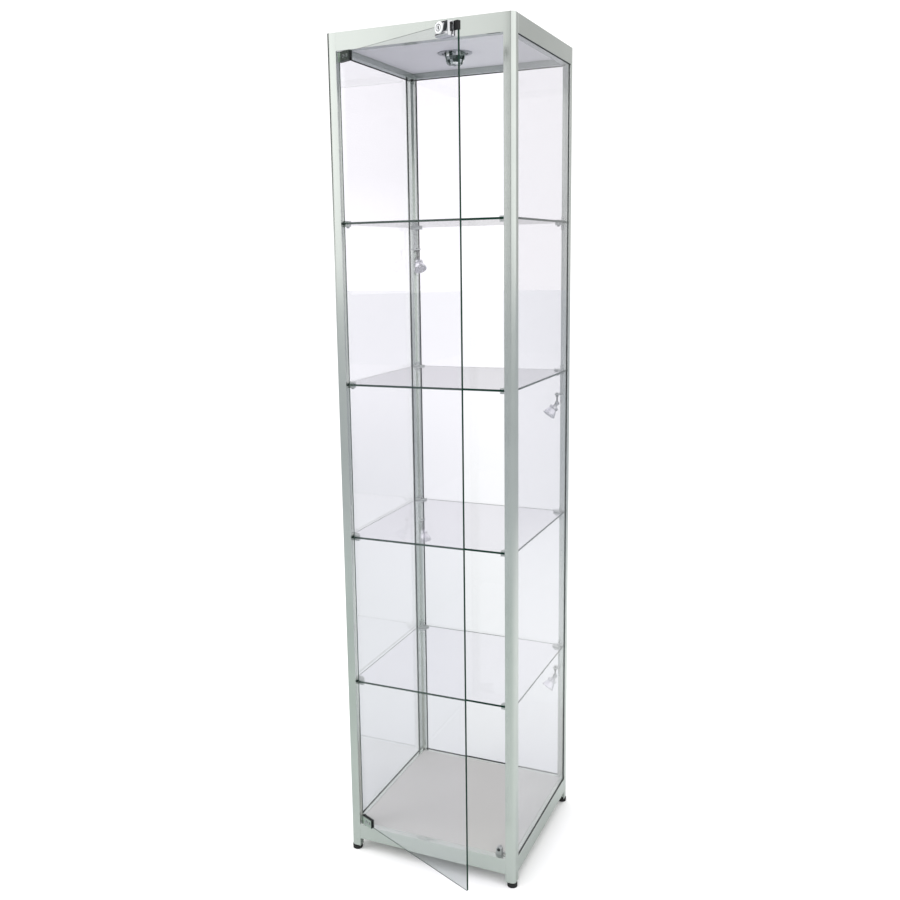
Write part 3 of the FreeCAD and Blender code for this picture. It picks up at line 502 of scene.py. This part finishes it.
# Reflector glass of the lamps: silvered facets, with a clear capsule in the middle
reflectorCoat = surface("silvered reflector", {"colours": ("#F4F4F6", "#E2E2E7"), "rough": (0.04, 0.1),
                                               "metal": 0.6, "grain": (500, 500, 500), "bump": 0.03})
capsuleGlass = glass("quartz capsule", {**floatGlass, "face": "#FFFFFF", "edge": ("#FFFFFF", "#F4F4F4"),
                                        "edgeShine": 0.5, "shadow": "#FFFFFF", "normal": (0, 0, 1)})


# Cut facets over a mirror coat: each facet is painted a dark or bright tone picked from the way it faces, a
# painted reflection
def paintedFacets(name, kit):
    material, tree = newMaterial(name)
    place = addNode(tree, "ShaderNodeTexCoord")
    pick = addNode(tree, "ShaderNodeTexNoise", {"Scale": kit["change"], "Detail": 1.0},
                   {"Vector": place.outputs["Normal"]})
    tones = addNode(tree, "ShaderNodeValToRGB", links={0: pick.outputs[0]})
    setRamp(tones, [(share, linear(code)) for share, code in kit["tones"]])
    shader = addNode(tree, "ShaderNodeBsdfPrincipled", {"Metallic": 1.0, "Roughness": kit["rough"]},
                     {"Base Color": tones.outputs[0]})
    finishMaterial(tree, shader)
    return material


# A reflector lamp looking along -Z from its back at height 0: cup, facets, rim and capsule
def reflectorLamp(name, kit, body, place, replaced):
    mouth, neck, deep, wall, bulb = kit["mouth"], kit["neck"], kit["deep"], kit["wall"], kit["bulb"]
    steps = kit["rings"]
    outer = [(neck + (mouth - neck) * math.sin(math.pi / 2 * i / steps), -deep * i / steps)
             for i in range(steps + 1)]
    inner = [(radius - wall, height) for radius, height in reversed(outer[1:])]
    turned(name + "_cup", [(0, 0)] + outer + inner + [(neck - wall, -wall), (0, -wall)], kit["coat"], body,
           place, kit["facets"], flat=True, replaced=(replaced,))
    lip, thick = kit["lip"]
    rim = [(mouth - wall, -deep), (mouth + lip, -deep), (mouth + lip, thick - deep),
           (mouth - wall, thick - deep)]
    turned(name + "_rim", rim + rim[:1], chromePlate, body, place)
    top, middle = -wall - kit["bulbGap"], -deep * kit["bulbReach"]
    dome = [(bulb * math.cos(math.pi / 2 * i / steps), middle - bulb * math.sin(math.pi / 2 * i / steps))
            for i in range(steps)]
    turned(name + "_capsule", [(0, top), (bulb, top)] + dome + [(0, middle - bulb)], capsuleGlass, body,
           place, kit["bulbSides"])


# Ceiling lamp: a cut glass bowl on a mirror coat, heights in millimetres above its lowest point
bowlSet = {
    "outline": ((0, 37), (24.8, 37), (24.8, 27), (23.6, 19), (21.2, 11), (18.6, 4.5), (16, 0.6), (14.8, 0.1),
                (13.2, 0.8), (0, 2.4)),
    "socket": ((0, 37), (9, 37), (9, 38), (8.2, 39), (8.2, 45), (7.6, 45.8), (0, 45.8)),
    "facets": 18, "change": 3.2, "rough": 0.06,
    # facet tones from near black to near white are painted reflection on the mirror coat
    "tones": ((0.0, "#27312D"), (0.42, "#3A4843"), (0.5, "#9FA9A5"), (0.6, "#F2F4F4")),
}
facetReflectionGlass = paintedFacets("cut glass with painted facet reflections", bowlSet)
bowlPlace = Matrix.Translation((0, 0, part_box("downlight_lamp")[0].z))
turned("ceiling_lamp_bowl", bowlSet["outline"], facetReflectionGlass, "downlight", bowlPlace, bowlSet["facets"], flat=True,
       replaced=("downlight_lamp",))
turned("ceiling_lamp_socket", bowlSet["socket"], whiteCase, "downlight", bowlPlace)
print("ceiling lamp ready")

# Spotlights: two ears on the arm's eye, a collar and a flared reflector
spotSet = {
    "mouth": 16, "neck": 8, "deep": 22, "wall": 1.0, "rings": 6, "facets": 22, "coat": reflectorCoat,
    "lip": (1, 2.5), "bulb": 3, "bulbGap": 0.5, "bulbReach": 0.55, "bulbSides": 24,
    "aim": 40, "drop": 16, "earSides": 32,
    "collar": ((0, -9), (6, -9), (6, -12), (11.5, -12.5), (12, -13), (12, -18), (11.5, -18.5), (8, -18.5),
               (8, -16), (0, -16)),
    "ear": ((0, 1.8), (4.4, 1.8), (5, 2.2), (5, 3.4), (4.4, 3.8), (0, 3.8)),
    "strap": {"size": (1.6, 7, 7), "out": 2.8, "down": 6.5, "width": 0.4},
}


def spotlight(index, kit):
    tilt = joints[f"spot_tilt_{index}"]
    axis = Vector(tilt["axis"])
    across = Matrix.Rotation(math.atan2(axis.y, axis.x), 4, "Z")
    aim = Matrix.Rotation(math.radians(kit["aim"]), 4, "X")
    pivot = Matrix.Translation(tilt["pos_m"]) @ across @ aim
    body = f"spot_lamp_{index}_head"
    reflectorLamp(f"spot_{index}", kit, body, pivot @ Matrix.Translation((0, 0, -mm(kit["drop"]))),
                  f"spot_lamp_{index}")
    turned(f"spot_{index}_collar", kit["collar"], chromePlate, body, pivot)
    strap = kit["strap"]
    for number, way in ((1, -1), (2, 1)):
        side = Matrix.Rotation(math.radians(90 * way), 4, "Y")
        turned(f"spot_{index}_ear_{number}", kit["ear"], zincSteel, body, pivot @ side, kit["earSides"])
        centre = (strap["out"] * way, 0, -strap["down"])
        roundedBlock(f"spot_{index}_strap_{number}", {**strap, "centre": centre}, zincSteel, body, pivot)


for index in range(1, 5):
    spotlight(index, spotSet)
print("spotlights ready")

# Floor: plain white where it is looked at, greyer near the case where its light reaches other surfaces: that grey
# is painted shade in the light it sends on and painted reflection in the shiny parts.
# Tones are near on the dim side, near on the bright side and far away, for light seen straight and in shine
floorSet = {
    "size": 40, "seen": "#FFFFFF", "lean": (0.8, 0.6, 0), "span": (-1.8, 2.4),
    # greyer near the case: painted shade in the light the floor sends on to the case
    "direct": {"tones": ("#AEB5B2", "#F4F5F5", "#F4F5F5"), "fade": (1.8, 9.0)},
    # greyer near the case: painted reflection in the aluminium and chrome
    "shine": {"tones": ("#A5AEAA", "#FAFBFB", "#BDC0C4"), "fade": (1.2, 3.8)},
}


def paintFloor(kit):
    material, tree = newMaterial("white studio floor")
    place = addNode(tree, "ShaderNodeTexCoord")
    along = addNode(tree, "ShaderNodeVectorMath", {1: kit["lean"]}, {0: place.outputs["Object"]},
                    operation="DOT_PRODUCT")
    share = addNode(tree, "ShaderNodeMapRange", {fromLow: kit["span"][0], fromHigh: kit["span"][1]},
                    {0: along.outputs["Value"]})
    away = addNode(tree, "ShaderNodeVectorMath", links={0: place.outputs["Object"]}, operation="LENGTH")
    tones = []
    for way in ("direct", "shine"):
        dim, bright, distant = (linear(code) for code in kit[way]["tones"])
        start, end = kit[way]["fade"]
        across = addNode(tree, "ShaderNodeMix", {mixFirst: dim, mixSecond: bright}, {0: share.outputs[0]},
                         data_type="RGBA")
        fade = addNode(tree, "ShaderNodeMapRange", {fromLow: start, fromHigh: end},
                       {0: away.outputs["Value"]})
        tones.append(addNode(tree, "ShaderNodeMix", {mixSecond: distant},
                             {0: fade.outputs[0], mixFirst: across.outputs[mixResult]}, data_type="RGBA"))
    tone = addNode(tree, "ShaderNodeMix", data_type="RGBA",
                   links={0: mirrored(tree).outputs[0], mixFirst: tones[0].outputs[mixResult],
                          mixSecond: tones[1].outputs[mixResult]})
    path = addNode(tree, "ShaderNodeLightPath")
    shown = addNode(tree, "ShaderNodeMix", {mixSecond: linear(kit["seen"])},
                    {0: path.outputs["Is Camera Ray"], mixFirst: tone.outputs[mixResult]}, data_type="RGBA")
    finishMaterial(tree, addNode(tree, "ShaderNodeBsdfDiffuse", links={"Color": shown.outputs[mixResult]}))
    return material


shape = bmesh.new()
bmesh.ops.create_grid(shape, x_segments=1, y_segments=1, size=floorSet["size"])
mesh = meshOf(shape, "floor")
mesh.materials.append(paintFloor(floorSet))
floor = bpy.data.objects.new("floor", mesh)
scene.collection.objects.link(floor)
print("floor ready")
